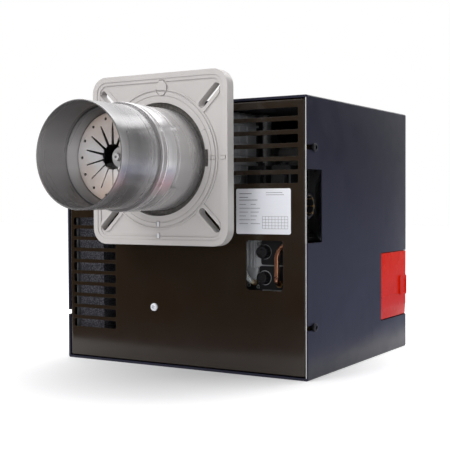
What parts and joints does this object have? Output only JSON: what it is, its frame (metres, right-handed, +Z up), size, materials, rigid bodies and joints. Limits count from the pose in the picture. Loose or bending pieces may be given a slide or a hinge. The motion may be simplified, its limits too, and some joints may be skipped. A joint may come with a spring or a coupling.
{
  "type": "industrial gas burner",
  "caption": "Forced-draught gas burner: flame tube with swirl disc, slotted mounting flange, louvred front panel and slide-off sound-damping hood with a red control cover.",
  "frame": {"origin": "where the flame tube's axis crosses the boiler-side face of the mounting flange, the centre of its four stud slots", "axes": "+Z up, -Y along the flame tube towards the flame, +X towards the gas inlet side"},
  "size_m": [0.367, 0.521, 0.365],
  "materials": {
    "panel_enamel": "glossy brown-black enamel on folded steel",
    "hood_enamel": "satin slate blue-grey enamel on folded steel",
    "plate": "satin anodised rating plate, no text",
    "zinc_steel": "zinc-plated sheet steel and fasteners",
    "stainless": "brushed stainless steel, turned round the axis",
    "disc_steel": "pressed heat-resistant steel, matt",
    "ceramic": "glazed white ceramic",
    "cast_aluminium": "die-cast aluminium, lightly blasted",
    "fibre_seal": "woven fibre rope",
    "winding_core": "laminated iron with varnished windings",
    "bearing_steel": "ground steel",
    "pale_plastic": "light grey moulded plastic",
    "grey_plastic": "dark grey moulded plastic",
    "black_plastic": "black moulded plastic",
    "button_plastic": "red moulded button",
    "red_plastic": "glossy red moulded plastic",
    "foam": "open-cell acoustic foam, charcoal",
    "brass": "machined brass",
    "copper": "drawn copper pipe",
    "silicone": "clear silicone hose",
    "cable": "black cable sheath"
  },
  "bodies": {
    "burner": {"front_panel": "panel_enamel", "rating_plate": "plate", "front_screw": "zinc_steel", "hood_screws": "zinc_steel", "mouth_tube": "stainless", "rear_tube": "stainless", "tube_band": "stainless", "step_ring": "stainless", "plenum_housing": "cast_aluminium", "rear_plate": "zinc_steel", "housing_bolts": "zinc_steel", "fan_scroll": "cast_aluminium", "scroll_cover": "zinc_steel", "motor_stator": "winding_core", "motor_housing": "cast_aluminium", "motor_end_shields": "cast_aluminium", "motor_bearings": "bearing_steel", "run_capacitor": "pale_plastic", "intake_silencer": "zinc_steel", "silencer_foam": "foam", "damper_servo": "black_plastic", "inlet_elbow": "black_plastic", "gas_valve_block": "cast_aluminium", "gas_inlet_socket": "brass", "valve_coils": "black_plastic", "gas_pipe": "zinc_steel", "gas_elbow": "cast_aluminium", "copper_pipe": "copper", "gas_pressure_switch": "pale_plastic", "pressure_hose": "silicone", "equipment_tray": "zinc_steel", "tray_brackets": "zinc_steel", "ignition_transformer": "black_plastic", "ignition_leads": "cable", "burner_controller": "grey_plastic", "plug_sockets": "black_plastic", "air_pressure_switch": "pale_plastic", "wiring_harness": "cable"},
    "head": {"diffuser_disc": "disc_steel", "gas_nozzle": "disc_steel", "gas_lance": "zinc_steel", "head_spider": "zinc_steel", "electrodes": "ceramic", "setting_rod": "zinc_steel"},
    "flange": {"mounting_flange": "cast_aluminium", "flange_clamp_bolt": "zinc_steel", "tube_seal": "fibre_seal"},
    "fan": {"fan_wheel": "zinc_steel", "motor_shaft": "zinc_steel"},
    "damper": {"damper_flap": "zinc_steel", "damper_shaft": "zinc_steel"},
    "gas_knob": {"regulator_knob": "black_plastic"},
    "start_knob": {"start_gas_knob": "black_plastic"},
    "dial": {"pressure_dial": "grey_plastic"},
    "button": {"reset_button": "button_plastic"},
    "hood": {"hood_shell": "hood_enamel", "hood_lining": "foam", "cover_hinge": "zinc_steel"},
    "cover": {"control_cover": "red_plastic"}
  },
  "joints": [
    {"name": "head_slide", "type": "slide", "parent": "burner", "child": "head", "axis": [0, -1, 0], "range_m": [-0.006, 0.01]},
    {"name": "flange_slide", "type": "slide", "parent": "burner", "child": "flange", "axis": [0, -1, 0], "range_m": [0, 0.034]},
    {"name": "fan_spin", "type": "hinge", "parent": "burner", "child": "fan", "pos_m": [0.018, 0.24, -0.055], "axis": [1, 0, 0], "continuous": true},
    {"name": "damper_turn", "type": "hinge", "parent": "burner", "child": "damper", "pos_m": [-0.12, 0.191, -0.07], "axis": [0, 0, 1], "range_deg": [0, 88]},
    {"name": "regulator_turn", "type": "hinge", "parent": "burner", "child": "gas_knob", "pos_m": [0.1145, 0.0562, -0.1124], "axis": [0, -1, 0], "range_deg": [-135, 135]},
    {"name": "start_gas_turn", "type": "hinge", "parent": "burner", "child": "start_knob", "pos_m": [0.1145, 0.0562, -0.1437], "axis": [0, -1, 0], "range_deg": [-135, 135]},
    {"name": "pressure_dial_turn", "type": "hinge", "parent": "burner", "child": "dial", "pos_m": [-0.1083, 0.096, 0.022], "axis": [-1, 0, 0], "range_deg": [0, 270]},
    {"name": "reset_press", "type": "slide", "parent": "burner", "child": "button", "axis": [-1, 0, 0], "range_m": [0, 0.003], "stiffness_N_per_m": 400},
    {"name": "hood_slide", "type": "slide", "parent": "burner", "child": "hood", "axis": [0, 1, 0], "range_m": [0, 0.335]},
    {"name": "cover_swing", "type": "hinge", "parent": "hood", "child": "cover", "pos_m": [0.1735, 0.2785, -0.168], "axis": [0, 0, -1], "range_deg": [0, 100]}
  ]
}
